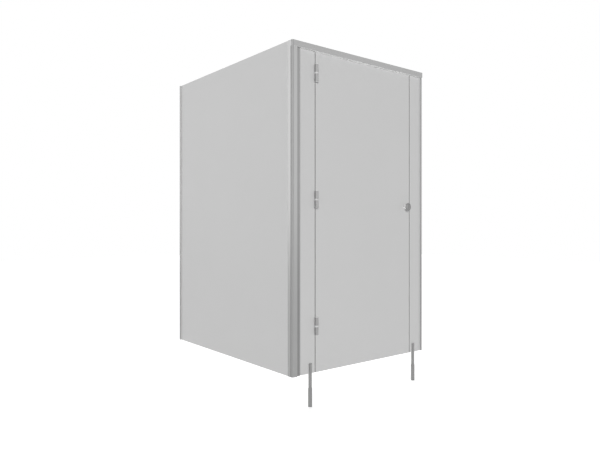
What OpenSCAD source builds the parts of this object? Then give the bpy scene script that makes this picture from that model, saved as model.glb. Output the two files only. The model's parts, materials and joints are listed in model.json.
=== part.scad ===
// Toilet cubicle for the corner of a room: a side wall and a front with a door,
// made of compact laminate panels in aluminium profiles, on two adjustable legs.
//
// The pieces are drawn from the cubicle's outer corner: X runs along the front, Y into the
// cubicle and Z up from the panels' bottom edges. The outer face of the side panel is X = 0
// and the outer face of the door is Y = 0. from_wall() then moves every piece, so that the
// origin is the foot of the rear channel's wall face, in the middle of the side panel.

/* [Cubicle] */
// Height of the side panel, which is also the top of the head rail
panel_h = 1850; // [1700:10:2100]
// Clear height between the floor and the panels
floor_gap = 187; // [170:1:205]
// Length of the side, from the door's outer face to the wall behind
side_depth = 1328; // [900:1:1700]
// Width of the pilaster between the door and the wall at the right
right_w = 113.5; // [100:0.5:300]
// Thickness of every panel
panel_t = 13; // [12:0.5:14]

/* [Door] */
// Width of the door leaf
door_w = 802; // [700:1:815]
// Gap between the door and the pilaster on each side
door_gap = 4.5; // [4.2:0.1:5.5]
// Gap between the door's top edge and the head rail
door_top_gap = 4; // [3:0.5:8]
// Distance from the side panel's outer face to the edge that carries the hinges
hinge_edge_x = 167.5; // [155:0.5:180]

/* [Profiles] */
// Wall thickness of the corner post, the head rail and the wall channels
wall = 2; // [1.6:0.1:2.4]
// Depth of the head rail, front to back
rail_d = 35; // [33:0.5:38]
// Height of the head rail
rail_h = 34; // [32:1:40]
// How far the pilasters reach up into the head rail
rail_grip = 14; // [10:1:15]
// Height of the guide ribs inside the head rail
rib_h = 16; // [15.5:0.5:17]
// Clearance between the guide ribs and the panels
rib_clear = 0.5; // [0.3:0.1:0.8]
// Width of the corner post's raised front face, from the side panel's outer face
post_front_w = 33; // [30:1:38]
// Where the corner post's front flanges end, from the side panel's outer face
post_lip_x = 57; // [54:1:64]
// Where the corner post's side flanges end, from the door's outer face
post_side_y = 31; // [29:1:36]
// Where the side panel's front edge sits in the corner post
post_seat_y = 4; // [3.5:0.5:5]
// Depth of the shadow groove beside the post's rounded corner
groove_d = 1; // [0.5:0.1:1.2]
// Width of that shadow groove
groove_w = 2; // [1:0.1:2.5]
// Outer width of the wall channels
channel_w = 25; // [23:0.5:28]
// Length of the wall channels' flanges
channel_leg = 15; // [13:0.5:20]
// Gap between a panel's edge and the bottom of its channel or post
seat_clear = 1; // [0.5:0.1:1.5]
// Thickness of the gaskets in the corner post
post_gasket_t = 1.5; // [1:0.1:2]
// Gap between the head rail's end and the wall, which the wall bracket's plate fills
bracket_t = 2.5; // [2:0.1:4]

/* [Hinges] */
// Height of a hinge
hinge_h = 100; // [90:1:120]
// Diameter of the hinge barrels
barrel_d = 22; // [20:0.5:24]
// Gap between the barrels and the face of the panels
barrel_clear = 0.5; // [0.4:0.1:1]
// Height of the bearing ring in the middle of a hinge
ring_h = 10; // [6:0.5:14]
// Diameter of the hinge pin
pin_d = 10; // [8:0.5:12]
// Thickness of the hinge leaves in the door's gap
leaf_t = 1.8; // [1.5:0.1:1.9]
// Height of the bottom hinge's middle above the panels' bottom edges
hinge_low_z = 263; // [200:1:350]
// Distance from the top of the panels down to the top hinge's middle
hinge_top_drop = 158; // [120:1:250]

/* [Lock] */
// Height of the lock's spindle above the panels' bottom edges
lock_z = 952; // [850:1:1050]
// Distance from the spindle to the door's edge
backset = 44; // [42:0.5:46]
// Travel of the bolt
bolt_throw = 24; // [23:0.1:24.2]
// Thickness of the bolt
bolt_t = 6; // [5:0.5:7]
// Height of the bolt's nose
nose_h = 16; // [12:1:18]
// Diameter of the spindle
spindle_d = 8; // [7:0.5:8.5]
// Diameter of the outer knob
knob_d = 51; // [46:0.5:56]
// Distance from the door's face to the knob's front rim
knob_proud = 30; // [26:0.5:36]
// Diameter of the knob's neck
neck_d = 18; // [16:0.5:20]
// Height of the lock case
case_h = 68; // [66:1:76]
// Depth of the lock case, with its base plate
case_d = 20; // [18:0.5:24]

/* [Legs] */
// Diameter of the upper leg rod
rod_d = 20; // [18:0.5:21]
// Outer diameter of the leg sleeve
sleeve_d = 24; // [23.5:0.5:28]
// Height of the leg sleeve's top above the floor
sleeve_h = 105; // [90:1:120]
// Height of the tongue that holds the panel from the front
tongue_h = 57; // [50:1:70]
// Distance from the middle of the hinge gap to the left leg
left_leg_inset = 37; // [28:0.5:45]
// Distance from the middle of the lock gap to the right leg
right_leg_inset = 34; // [28:0.5:45]
// Height of the rod's lower end above the floor
rod_end_z = 34; // [30:1:40]
// Height of the foot plug's flange
foot_flange_h = 4; // [3:0.5:6]
// Diameter of the floor anchor hole in each foot
anchor_d = 6.2; // [5:0.1:8]

/* [Fasteners] */
// Diameter of the panel screws
screw_d = 5; // [4:0.5:5.5]
// Depth of the panel screws in the panels
screw_bite = 8; // [6:0.5:9]
// Number of screws along each profile
screw_n = 4; // [3:1:6]
// Diameter of the holes for fixing the channels to the wall
wall_hole_d = 6.5; // [5:0.1:8]
// Clearance around shanks and pins that don't turn
snug = 0.05; // [0.03:0.01:0.1]
// Clearance around shafts, pins and rods that turn or slide
running = 0.05; // [0.03:0.01:0.08]

/* [Hidden] */
$fn = 48;

// Overlap that keeps cuts clean
eps = 0.01;

// Places along the front
proud = (rail_d - panel_t) / 2;
door_x0 = hinge_edge_x + door_gap;
door_x1 = door_x0 + door_w;
lock_edge_x = door_x1 + door_gap;
front_w = lock_edge_x + right_w + seat_clear + wall;
hinge_x = hinge_edge_x + door_gap / 2;
left_leg_x = hinge_x - left_leg_inset;
right_leg_x = door_x1 + door_gap / 2 + right_leg_inset;

// Heights
rail_z = panel_h - rail_h;
pilaster_h = rail_z + rail_grip;
door_h = rail_z - door_top_gap;

// Corner post
post_gap = panel_t + post_gasket_t;
arris_r = proud + wall;
port_r = 2.1;
port_wall = 1.9;
port_sink = 0.5;
gasket_in = 2;

// Rail
cap_x = arris_r - wall;
cap_wall = wall + 0.5;
cheek_len = 20;
cheek_t = 2.5;
cheek_clear = 0.3;
port_head_r = 2.9;
port_head_h = 2.2;
port_screw_len = 16;
head_room = 0.3;
cheek_z = rail_z + cap_wall + port_head_h + 1.5;
cheek_root = 3;
bracket_hole_dy = 17;
bracket_hole_z = panel_h - 10;
bracket_hole_r = 2.5;
rail_x1 = front_w - bracket_t;
infill_h = 8;
rail_screw_lip = 20;
rail_screw_in = 25;
rail_screw_end = 40;

// Channels
channel_out = (channel_w - panel_t) / 2;
channel_gasket_t = channel_out - wall;
channel_gasket_w = channel_leg - wall - 2 * gasket_in;

// Screws
head_r = screw_d * 0.95;
head_t = screw_d * 0.55;
hex_r = screw_d * 0.34;
hex_depth = head_t * 0.6;
csk_r = 4;
csk_h = 1.6;
csk_d = 4;
csk_hex_r = 1.3;
row_end = 110;

// Door stop
stop_t = 2;
stop_foot = 22;
stop_tongue = 16;
seal_t = 3;
seal_w = 9;
seal_gap = 0.3;
stop_break = 44;
stop_edge = 20;
stop_screw_in = 40;

// Hinges
hinge_r = barrel_d / 2;
hinge_y = -hinge_r - barrel_clear;
hinge_z = [hinge_low_z, (hinge_low_z + panel_h - hinge_top_drop) / 2, panel_h - hinge_top_drop];
ring_clear = 0.2;
blind = 3;
leaf_back = 0.5;
leaf_screw_in = 14;
ring_in = 0.4;
press = 0.01;

// Lock
knob_x = door_x1 - backset;
plate_t = 2;
case_wall = 2;
case_left = 26;
case_right = backset - 8;
bolt_y = panel_t + plate_t + 0.4;
lever_y = bolt_y + bolt_t + 0.6;
lever_t = 4;
crank_r = bolt_throw / 2 / sin(45);
crank_pin_r = 2.5;
lever_r = 4.8;
lever_arm = 7;
yoke_clear = 0.7;
yoke_side = 6;
yoke_top = 4;
bolt_back = -bolt_throw / 2 - crank_pin_r - yoke_clear - yoke_side;
bolt_web = 9.5;
nose_x = case_right - 0.5;
case_y1 = panel_t + case_d;
turn_y = case_y1 + 0.4;
dish_t = 4;
face_t = 4;
face_rim = 1;
face_y = -knob_proud - 1;
disc_t = 1.5;
disc_r = knob_d / 2 - 7;
disc_clear = 0.4;
disc_back = -face_y - 2 + disc_clear;
hub_r = spindle_d / 2 + 2;
slot_depth = 1;
spindle_y0 = face_y - 1.3;
fixing_x = 9.5;
fixing_d = 4;
keep_x = lock_edge_x + 2;
keep_len = 23;
keep_wall = 2.5;
keep_clear = 1.5;
keep_ear = 10;
bolt_low = 10;
guide_clear = 0.4;
boss_r = 4.2;
boss_in = 4.5;
boss_gap = 1;
rose_h = 6;
rose_rim = 3;
lever_rim = 4;
turn_r = 19;
turn_t = 5;
turn_edge = 1.5;
grip_t = 8;
grip_w = 34;
grip_h = 20;
turn_bore = 8;

// Legs
floor_z = -floor_gap;
rod_r = rod_d / 2;
sleeve_top = floor_z + sleeve_h;
spigot_h = 12;
set_screw_d = 5;
set_screw_len = 5;
set_screw_drop = 14;
leg_screw_z = [18, 40];
leg_screw_bite = 7;

// n values from lo to hi
function spread(n, lo, hi) = [for (i = [0 : n - 1]) lo + i * (hi - lo) / (n - 1)];
profile_screw_z = spread(screw_n, row_end, rail_z - row_end);
side_screw_z = spread(screw_n, row_end, panel_h - row_end);
wall_hole_z = spread(4, row_end, rail_z - row_end);
rear_hole_z = spread(4, row_end, panel_h - row_end);
stop_screw_z = concat(
    spread(3, stop_edge + stop_screw_in, lock_z - stop_break - stop_screw_in),
    spread(3, lock_z + stop_break + stop_screw_in, door_h - stop_edge - stop_screw_in));
rail_screw_x = concat([post_lip_x + rail_screw_lip, hinge_edge_x - rail_screw_in],
    [lock_edge_x + rail_screw_in, front_w - rail_screw_end]);

module from_wall() { translate([-panel_t / 2, -side_depth, 0]) children(); }

// A block between two corners
module block(low, high) { translate(low) cube(high - low); }

// A rectangle between two corners
module area(low, high) { translate(low) square(high - low); }

// A rectangle with its low corner rounded
module arris_area(low, high, r) {
    difference() {
        area(low, high);
        difference() {
            area(low - [1, 1], low + [r, r]);
            translate(low + [r, r]) circle(r, $fn = 96);
        }
    }
}

// Turn Z to point along the other axes
module to_x() { rotate([0, 90, 0]) children(); }
module to_y() { rotate([-90, 0, 0]) children(); }
module to_minus_y() { rotate([90, 0, 0]) children(); }

// A cylinder along Y between two places
module rod_y(x, z, y0, y1, r) { translate([x, y0, z]) to_y() cylinder(h = y1 - y0, r = r); }

// A section turned about an axis along Y, drawn as [radius, distance in front of the door]
module turned_y(x, z) { translate([x, 0, z]) to_minus_y() rotate_extrude($fn = 96) children(); }

// A round-headed screw whose head stands on Z = 0 and whose shank goes down
module pan_screw(len) {
    difference() {
        union() {
            cylinder(h = head_t * 0.55, r = head_r);
            translate([0, 0, head_t * 0.55]) cylinder(h = head_t * 0.45, r1 = head_r, r2 = head_r * 0.72);
        }
        translate([0, 0, head_t - hex_depth]) cylinder(h = head_t, r = hex_r, $fn = 6);
    }
    translate([0, 0, -len]) cylinder(h = len, r = screw_d / 2);
}

// A countersunk screw whose head is flush with Z = 0
module flush_screw(len, d) {
    difference() {
        union() {
            translate([0, 0, -csk_h]) cylinder(h = csk_h, r1 = d / 2, r2 = csk_r);
            translate([0, 0, -len]) cylinder(h = len - csk_h, r = d / 2);
        }
        translate([0, 0, -csk_h * 0.7]) cylinder(h = csk_h, r = csk_hex_r, $fn = 6);
    }
}

// The hole that takes a flush screw
module flush_hole(len, d) {
    translate([0, 0, -csk_h]) cylinder(h = csk_h + eps, r1 = d / 2 + snug, r2 = csk_r + snug);
    translate([0, 0, -len]) cylinder(h = len, r = d / 2 + snug);
}

// Places of the screws, each with its head's seat at Z = 0 and the shank along -Z
module at_post_side_screws() {
    for (z = profile_screw_z) translate([post_gap + wall, (post_gap + wall + post_side_y) / 2, z])
        to_x() children();
}
module at_post_front_screws() {
    for (z = profile_screw_z) translate([(post_front_w + post_lip_x) / 2, post_gap + wall, z])
        to_y() children();
}
module at_rear_channel_screws() {
    for (z = side_screw_z) translate([panel_t + channel_out, side_depth - channel_leg / 2 - wall / 2, z])
        to_x() children();
}
module at_front_channel_screws() {
    for (z = profile_screw_z) translate([front_w - channel_leg / 2 - wall / 2, panel_t + channel_out, z])
        to_y() children();
}
module at_rail_screws() {
    for (x = rail_screw_x) translate([x, panel_t + proud, rail_z + rail_grip / 2]) to_y() children();
}
module at_stop_screws() {
    for (z = stop_screw_z) translate([lock_edge_x + stop_foot / 2, panel_t + stop_t, z]) to_y() children();
}
module at_leaf_screws(side) {
    for (dz = spread(3, leaf_screw_in - hinge_h / 2, hinge_h / 2 - leaf_screw_in))
        translate([side * (door_gap / 2 - leaf_t), panel_t / 2 - hinge_y, dz])
        rotate([0, -side * 90, 0]) children();
}
module at_hinge_screws(side) { for (i = [0 : 2]) at_hinge(i) at_leaf_screws(side) children(); }
module at_leg_screws() {
    for (x = [left_leg_x, right_leg_x], z = leg_screw_z) translate([x, panel_t, z]) to_y() children();
}
module at_keep_screws() {
    dz = nose_h / 2 + keep_clear + keep_wall + keep_ear / 2;
    for (z = [lock_z - dz, lock_z + dz])
        translate([keep_x + keep_len / 2, panel_t + plate_t, z]) to_y() children();
}
module at_case_screws() {
    for (x = [boss_in - case_left, case_right - boss_in], s = [-1, 1])
        translate([knob_x + x, case_y1, lock_z + s * (case_h / 2 - boss_in)]) to_y() children();
}
module at_knob_screws() {
    for (s = [-1, 1]) translate([knob_x + s * fixing_x, panel_t + plate_t, lock_z]) to_y() children();
}

// Pilot hole for a screw that passes through the given depth before it bites
module pilot(depth) { translate([0, 0, -depth]) cylinder(h = depth + eps, r = screw_d / 2 + snug); }

post_screw_len = wall + post_gasket_t + screw_bite;
channel_screw_len = channel_out + screw_bite;
rail_screw_len = proud + screw_bite;
stop_screw_len = stop_t + screw_bite;
keep_screw_len = plate_t + screw_bite;
leg_screw_len = panel_t + leg_screw_bite;
hinge_screw_len = leaf_t + 18;
case_screw_len = case_d + screw_bite;
knob_screw_len = panel_t + plate_t + 5;

// Panels ------------------------------------------------------------------------------------

// Side wall of the cubicle, notched at its top front corner for the end of the head rail
module side_panel() {
    color("gainsboro") difference() {
        block([0, post_seat_y + seat_clear, 0], [panel_t, side_depth - wall - seat_clear, panel_h]);
        block([-1, 0, rail_z], [panel_t + 1, post_side_y + seat_clear / 2, panel_h + 1]);
        at_post_side_screws() pilot(post_screw_len);
        at_rear_channel_screws() pilot(channel_screw_len);
    }
}

// Fixed panel between the corner post and the hinges
module left_pilaster() {
    color("gainsboro") difference() {
        block([post_front_w + seat_clear, 0, 0], [hinge_edge_x, panel_t, pilaster_h]);
        at_post_front_screws() pilot(post_screw_len);
        at_rail_screws() pilot(rail_screw_len);
        at_hinge_screws(-1) pilot_edge();
        at_leg_screws() flush_hole(panel_t + 1, screw_d);
    }
}

// Hole for a hinge screw in the edge of a panel
module pilot_edge() {
    translate([0, 0, -hinge_screw_len]) cylinder(h = hinge_screw_len, r = csk_d / 2 + snug);
}

// Fixed panel between the lock and the wall
module right_pilaster() {
    color("gainsboro") difference() {
        block([lock_edge_x, 0, 0], [lock_edge_x + right_w, panel_t, pilaster_h]);
        at_front_channel_screws() pilot(channel_screw_len);
        at_rail_screws() pilot(rail_screw_len);
        at_stop_screws() pilot(stop_screw_len);
        at_keep_screws() pilot(keep_screw_len);
        at_leg_screws() flush_hole(panel_t + 1, screw_d);
    }
}

// Door leaf, which opens outwards
module door_leaf() {
    color("gainsboro") difference() {
        block([door_x0, 0, 0], [door_x1, panel_t, door_h]);
        at_hinge_screws(1) pilot_edge();
        rod_y(knob_x, lock_z, -1, panel_t + 1, spindle_d / 2 + 1);
        at_knob_screws() knob_screw_hole();
        at_case_screws() pilot(case_screw_len);
    }
}

// Corner post -------------------------------------------------------------------------------

// Screw ports in the post: one for the rail's end cap and one for the rail
cap_port = [proud, wall] - (arris_r - cap_wall - port_head_r - head_room) * [sin(45), sin(45)];
rail_port = [post_front_w, -proud] + (wall + port_r + port_wall - port_sink) * [-1, 1];

// Section of the corner post: a rounded chamber at the corner, a slot for each panel
module post_section() {
    difference() {
        union() {
            arris_area([-wall, -proud], [post_front_w, post_seat_y], arris_r);
            area([-wall, post_seat_y - wall], [0, post_side_y]);
            area([post_gap, post_seat_y - wall], [post_gap + wall, post_side_y]);
            area([post_front_w - wall, -wall], [post_lip_x, 0]);
            area([post_gap, post_gap], [post_lip_x, post_gap + wall]);
            area([post_front_w - wall, -wall], [post_front_w, post_gap + wall]);
        }
        difference() {
            arris_area([0, wall - proud], [post_front_w - wall, post_seat_y - wall], arris_r - wall);
            for (port = [cap_port, rail_port]) translate(port) circle(port_r + port_wall);
        }
        for (port = [cap_port, rail_port]) translate(port) circle(port_r);
        translate([-wall, arris_r - proud + groove_w / 2]) area([-1, 0], [groove_d, groove_w]);
    }
}

module corner_post() {
    color("silver") difference() {
        linear_extrude(rail_z) post_section();
        at_post_side_screws() pilot(post_gap);
        at_post_front_screws() pilot(post_gap);
    }
}

// Gasket between the post's inner flange and the side panel
module post_side_gasket() {
    color("dimgray") difference() {
        block([panel_t, post_seat_y + gasket_in, 0], [post_gap, post_side_y - gasket_in, rail_z]);
        at_post_side_screws() pilot(post_gap);
    }
}

// Gasket between the post's inner flange and the pilaster
module post_front_gasket() {
    color("dimgray") difference() {
        block([post_front_w + gasket_in, panel_t, 0], [post_lip_x - gasket_in, post_gap, rail_z]);
        at_post_front_screws() pilot(post_gap);
    }
}

module post_side_screws() { color("slategray") at_post_side_screws() pan_screw(post_screw_len); }
module post_front_screws() { color("slategray") at_post_front_screws() pan_screw(post_screw_len); }

// Head rail ---------------------------------------------------------------------------------

// Section of the rail: [depth from the door's face, height above the rail's underside]
module rail_section() {
    difference() {
        area([-proud, 0], [panel_t + proud, rail_h]);
        area([wall - proud, wall], [panel_t + proud - wall, rail_h - wall]);
        area([-rib_clear, -1], [panel_t + rib_clear, wall + 1]);
    }
    for (y = [-rib_clear - wall, panel_t + rib_clear]) area([y, 0], [y + wall, rib_h]);
}

// Where the rail and its end cap are screwed down on the post
module at_rail_foot_screw() { translate([rail_port.x, rail_port.y, rail_z + wall]) children(); }
module at_cap_screw() { translate([cap_port.x, cap_port.y, rail_z + cap_wall]) children(); }

module head_rail() {
    color("silver") difference() {
        translate([cap_x, 0, rail_z]) rotate([90, 0, 90]) linear_extrude(rail_x1 - cap_x) rail_section();
        at_rail_screws() pilot(proud);
        at_rail_foot_screw() port_hole(wall);
    }
}

// Cheeks that plug into the rail's end, from x0 to x1
module rail_cheeks(x0, x1) {
    for (y = [wall - proud + cheek_clear, panel_t + proud - wall - cheek_clear - cheek_t])
        block([x0, y, cheek_z], [x1, y + cheek_t, panel_h - wall - cheek_clear]);
}

// Cap that carries the post's rounded corner up beside the end of the rail
module rail_end_cap() {
    color("silver") {
        difference() {
            translate([0, 0, rail_z]) linear_extrude(rail_h)
                arris_area([-wall, -proud], [cap_x, post_side_y], arris_r);
            translate([0, 0, rail_z + cap_wall]) linear_extrude(rail_h - 2 * cap_wall)
                arris_area([cap_wall - wall, cap_wall - proud], [cap_x + 1, post_side_y - cap_wall],
                    arris_r - cap_wall);
            at_cap_screw() port_hole(cap_wall);
        }
        rail_cheeks(cap_x - cheek_root, cap_x + cheek_len);
    }
}

// Bracket that carries the rail at the wall
module rail_wall_bracket() {
    color("silver") difference() {
        union() {
            block([rail_x1, -proud, rail_z], [front_w, panel_t + proud, panel_h]);
            rail_cheeks(rail_x1 - cheek_len, rail_x1 + bracket_t / 2);
        }
        for (s = [-1, 1]) translate([rail_x1 - 1, panel_t / 2 + s * bracket_hole_dy / 2, bracket_hole_z])
            to_x() cylinder(h = bracket_t + 2, r = bracket_hole_r);
    }
}

// Strip that closes the rail's slot above the door
module rail_infill() {
    color("gray") block([hinge_edge_x + seat_clear, -rib_clear, rail_z],
        [lock_edge_x - seat_clear, panel_t + rib_clear, rail_z + infill_h]);
}

module rail_screws() {
    color("slategray") {
        at_rail_screws() pan_screw(rail_screw_len);
        at_rail_foot_screw() port_screw();
        at_cap_screw() port_screw();
    }
}

// Screw into one of the post's ports
module port_screw() {
    cylinder(h = port_head_h, r = port_head_r);
    translate([0, 0, -port_screw_len]) cylinder(h = port_screw_len, r = port_r - snug);
}

// Hole for a port screw through the given depth
module port_hole(depth) { translate([0, 0, -depth - 1]) cylinder(h = depth + 2, r = port_r + snug); }

// Wall channels -----------------------------------------------------------------------------

// A channel's section with its wall face on Y = 0 and its slot towards -Y
module channel_section() {
    difference() {
        area([-channel_w / 2, -channel_leg], [channel_w / 2, 0]);
        area([wall - channel_w / 2, -channel_leg - 1], [channel_w / 2 - wall, -wall]);
    }
}

// Channel that holds the side panel on the wall behind
module rear_wall_channel() {
    color("silver") difference() {
        translate([panel_t / 2, side_depth, 0]) linear_extrude(panel_h) channel_section();
        at_rear_channel_screws() pilot(channel_out);
        for (z = rear_hole_z) rod_y(panel_t / 2, z, side_depth - wall - 1, side_depth + 1, wall_hole_d / 2);
    }
}

module channel_gaskets(h) {
    for (s = [-1, 1])
        translate([s * (panel_t + channel_gasket_t) / 2, -wall - gasket_in - channel_gasket_w / 2, h / 2])
        cube([channel_gasket_t, channel_gasket_w, h], center = true);
}

module rear_channel_gaskets() {
    color("dimgray") difference() {
        translate([panel_t / 2, side_depth, 0]) channel_gaskets(panel_h);
        at_rear_channel_screws() pilot(channel_out);
    }
}

// Channel that holds the right pilaster on the wall at the right
module front_wall_channel() {
    color("silver") difference() {
        translate([front_w, panel_t / 2, 0]) rotate([0, 0, -90]) linear_extrude(rail_z) channel_section();
        at_front_channel_screws() pilot(channel_out);
        for (z = wall_hole_z) translate([front_w - wall - 1, panel_t / 2, z])
            to_x() cylinder(h = wall + 2, r = wall_hole_d / 2);
    }
}

module front_channel_gaskets() {
    color("dimgray") difference() {
        translate([front_w, panel_t / 2, 0]) rotate([0, 0, -90]) channel_gaskets(rail_z);
        at_front_channel_screws() pilot(channel_out);
    }
}

module rear_channel_screws() { color("slategray") at_rear_channel_screws() pan_screw(channel_screw_len); }
module front_channel_screws() { color("slategray") at_front_channel_screws() pan_screw(channel_screw_len); }

// Door stop ---------------------------------------------------------------------------------

// A strip behind the lock gap, which the closed door rests against through its seal
module stop_strip(z0, z1) {
    color("silver") difference() {
        translate([lock_edge_x, panel_t, z0]) linear_extrude(z1 - z0) {
            area([0, 0], [stop_foot, stop_t]);
            area([0, 0], [stop_t, seal_t + stop_t]);
            area([-stop_tongue, seal_t], [stop_t, seal_t + stop_t]);
        }
        at_stop_screws() pilot(stop_t);
    }
}

module lower_stop_strip() { stop_strip(stop_edge, lock_z - stop_break); }
module upper_stop_strip() { stop_strip(lock_z + stop_break, door_h - stop_edge); }

module stop_seals() {
    color("dimgray") for (z = [[stop_edge, lock_z - stop_break], [lock_z + stop_break, door_h - stop_edge]])
        block([lock_edge_x - stop_tongue, panel_t + seal_gap, z[0]],
            [lock_edge_x - stop_tongue + seal_w, panel_t + seal_t, z[1]]);
}

module stop_screws() { color("slategray") at_stop_screws() pan_screw(stop_screw_len); }

// Hinges ------------------------------------------------------------------------------------

// Half a hinge about its own axis: side -1 is fixed to the frame, side 1 to the door
module hinge_half(side) {
    low = side < 0 ? -hinge_h / 2 : ring_h / 2;
    high = side < 0 ? -ring_h / 2 : hinge_h / 2;
    leaf_x = [side * door_gap / 2, side * (door_gap / 2 - leaf_t)];
    color("darkgray") difference() {
        union() {
            difference() {
                translate([0, 0, low]) cylinder(h = high - low, r = hinge_r, $fn = 96);
                translate([0, 0, side < 0 ? low + blind : low - 1])
                    cylinder(h = high - low - blind + 1, r = pin_d / 2 + (side < 0 ? press : running));
            }
            difference() {
                block([min(leaf_x), 0, low], [max(leaf_x), panel_t - leaf_back - hinge_y, high]);
                translate([0, 0, low - 1]) cylinder(h = hinge_h, r = hinge_r - 1);
            }
            block([min(leaf_x), -hinge_y - barrel_clear / 5, -hinge_h / 2],
                [max(leaf_x), panel_t - leaf_back - hinge_y, hinge_h / 2]);
        }
        at_leaf_screws(side) flush_hole(leaf_t + 1, csk_d);
    }
}

module hinge_pin() {
    color("gray") translate([0, 0, blind - hinge_h / 2]) cylinder(h = hinge_h - 3 * blind, r = pin_d / 2);
}

// Ring that carries the door's half on the frame's half
module hinge_ring() {
    color("whitesmoke") difference() {
        translate([0, 0, -ring_h / 2]) cylinder(h = ring_h - ring_clear, r = hinge_r - ring_in, $fn = 96);
        translate([0, 0, -ring_h]) cylinder(h = 2 * ring_h, r = pin_d / 2 + running);
    }
}

module at_hinge(i) { translate([hinge_x, hinge_y, hinge_z[i]]) children(); }

module hinge_frame_screws() { color("slategray") at_hinge_screws(-1) flush_screw(hinge_screw_len, csk_d); }
module hinge_door_screws() { color("slategray") at_hinge_screws(1) flush_screw(hinge_screw_len, csk_d); }

// Lock --------------------------------------------------------------------------------------

module knob_screw_hole() {
    translate([0, 0, -knob_screw_len]) cylinder(h = knob_screw_len, r = fixing_d / 2 + snug);
}

// Neck and dish of the outer knob
module knob_body() {
    color("gray") difference() {
        turned_y(knob_x, lock_z) difference() {
            union() {
                area([0, 0], [fixing_x + fixing_d / 2 + rose_rim, rose_h]);
                area([0, 0], [neck_d / 2, knob_proud - 1]);
                area([0, -face_y - dish_t], [knob_d / 2, -face_y]);
            }
            translate([0, -face_y - dish_t]) rim_cut();
            area([0, -face_y - 2], [disc_r + 1, -face_y + 1]);
            area([0, -1], [spindle_d / 2 + running, -face_y + 1]);
        }
        at_knob_screws() knob_screw_hole();
    }
}

// Cut that thins the knob's rim towards its edge
module rim_cut() {
    r = knob_d / 2;
    polygon([[r + 1, -1], [r - 4, -1], [r - 4, 0], [r + 1, dish_t - 1.5]]);
}

// Domed front of the outer knob, with the window for the indicator and the hole for its slot
module knob_face() {
    dome_h = face_t - face_rim;
    dome_r = (pow(knob_d / 2, 2) + pow(dome_h, 2)) / (2 * dome_h);
    color("gray") difference() {
        turned_y(knob_x, lock_z) difference() {
            intersection() {
                area([0, -face_y], [knob_d / 2, -face_y + face_t]);
                translate([0, -face_y + face_t - dome_r]) circle(dome_r, $fn = 180);
            }
            area([0, -face_y - 1], [disc_r + 1, -face_y + 0.6]);
            area([0, -face_y - 1], [hub_r + disc_clear, -face_y + face_t + 1]);
        }
        translate([knob_x, 0, lock_z]) to_minus_y() linear_extrude(-face_y + face_t + 1) intersection() {
            difference() {
                circle(disc_r - 2);
                circle(disc_r - 7);
            }
            rotate(60) square(disc_r);
            rotate(30) square(disc_r);
        }
    }
}

// Disc behind the window, with the slot that opens the lock from outside
module indicator_disc() {
    color("white") difference() {
        turned_y(knob_x, lock_z) {
            area([0, disc_back], [disc_r, disc_back + disc_t]);
            area([0, disc_back], [hub_r, -face_y + face_t - disc_clear]);
        }
        rod_y(knob_x, lock_z, spindle_y0, face_y + dish_t, spindle_d / 2 + press);
        block([knob_x - 1, face_y - face_t, lock_z - hub_r + 1],
            [knob_x + 1, face_y - face_t + disc_clear + slot_depth, lock_z + hub_r - 1]);
    }
}

module lock_spindle() {
    color("darkgray") rod_y(knob_x, lock_z, spindle_y0, turn_y + turn_bore, spindle_d / 2);
}

// Lever that the spindle turns and whose pin moves the bolt
module drive_lever() {
    tip = [-bolt_throw / 2, bolt_throw / 2];
    color("silver") translate([knob_x, lever_y, lock_z]) to_y() mirror([0, 1, 0]) {
        linear_extrude(lever_t) difference() {
            union() {
                circle(spindle_d / 2 + lever_rim);
                translate(tip) circle(lever_r);
                rotate(135) area([0, -lever_arm / 2], [crank_r, lever_arm / 2]);
            }
            circle(spindle_d / 2 + press);
        }
        translate([tip.x, tip.y, -bolt_t]) cylinder(h = bolt_t + 1, r = crank_pin_r);
    }
}

// Turn on the inside of the door
module thumb_turn() {
    color("gray") difference() {
        translate([knob_x, turn_y, lock_z]) to_y() {
            cylinder(h = turn_t, r = turn_r);
            translate([0, 0, turn_t]) cylinder(h = turn_edge, r1 = turn_r, r2 = turn_r - turn_edge);
            block([-grip_t / 2, -grip_w / 2, 0], [grip_t / 2, grip_w / 2, grip_h]);
        }
        rod_y(knob_x, lock_z, turn_y - 1, turn_y + turn_bore, spindle_d / 2 + press);
    }
}

module lock_base_plate() {
    color("silver") difference() {
        block([knob_x - case_left, panel_t, lock_z - case_h / 2],
            [knob_x + case_right, panel_t + plate_t, lock_z + case_h / 2]);
        rod_y(knob_x, lock_z, panel_t - 1, panel_t + plate_t + 1, spindle_d / 2 + running);
        at_knob_screws() flush_hole(plate_t + 1, fixing_d);
        at_case_screws() pilot(case_d + 1);
    }
}

module lock_case() {
    x0 = knob_x - case_left;
    x1 = knob_x + case_right;
    color("silver") difference() {
        union() {
            difference() {
                block([x0, panel_t + plate_t, lock_z - case_h / 2], [x1, case_y1, lock_z + case_h / 2]);
                block([x0 + case_wall, panel_t, lock_z - case_h / 2 + case_wall],
                    [x1 - case_wall, case_y1 - case_wall, lock_z + case_h / 2 - case_wall]);
            }
            at_case_screws() translate([0, 0, plate_t - case_d])
                cylinder(h = case_d - plate_t - boss_gap, r = boss_r);
        }
        block([x1 - case_wall - 1, panel_t, lock_z - nose_h / 2 - guide_clear],
            [x1 + 1, bolt_y + bolt_t + guide_clear, lock_z + nose_h / 2 + guide_clear]);
        rod_y(knob_x, lock_z, panel_t, case_y1 + 1, spindle_d / 2 + running);
        at_case_screws() pilot(case_d + 1);
    }
}

module lock_case_screws() { color("slategray") at_case_screws() pan_screw(case_screw_len); }
module knob_screws() { color("slategray") at_knob_screws() flush_screw(knob_screw_len, fixing_d); }

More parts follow.
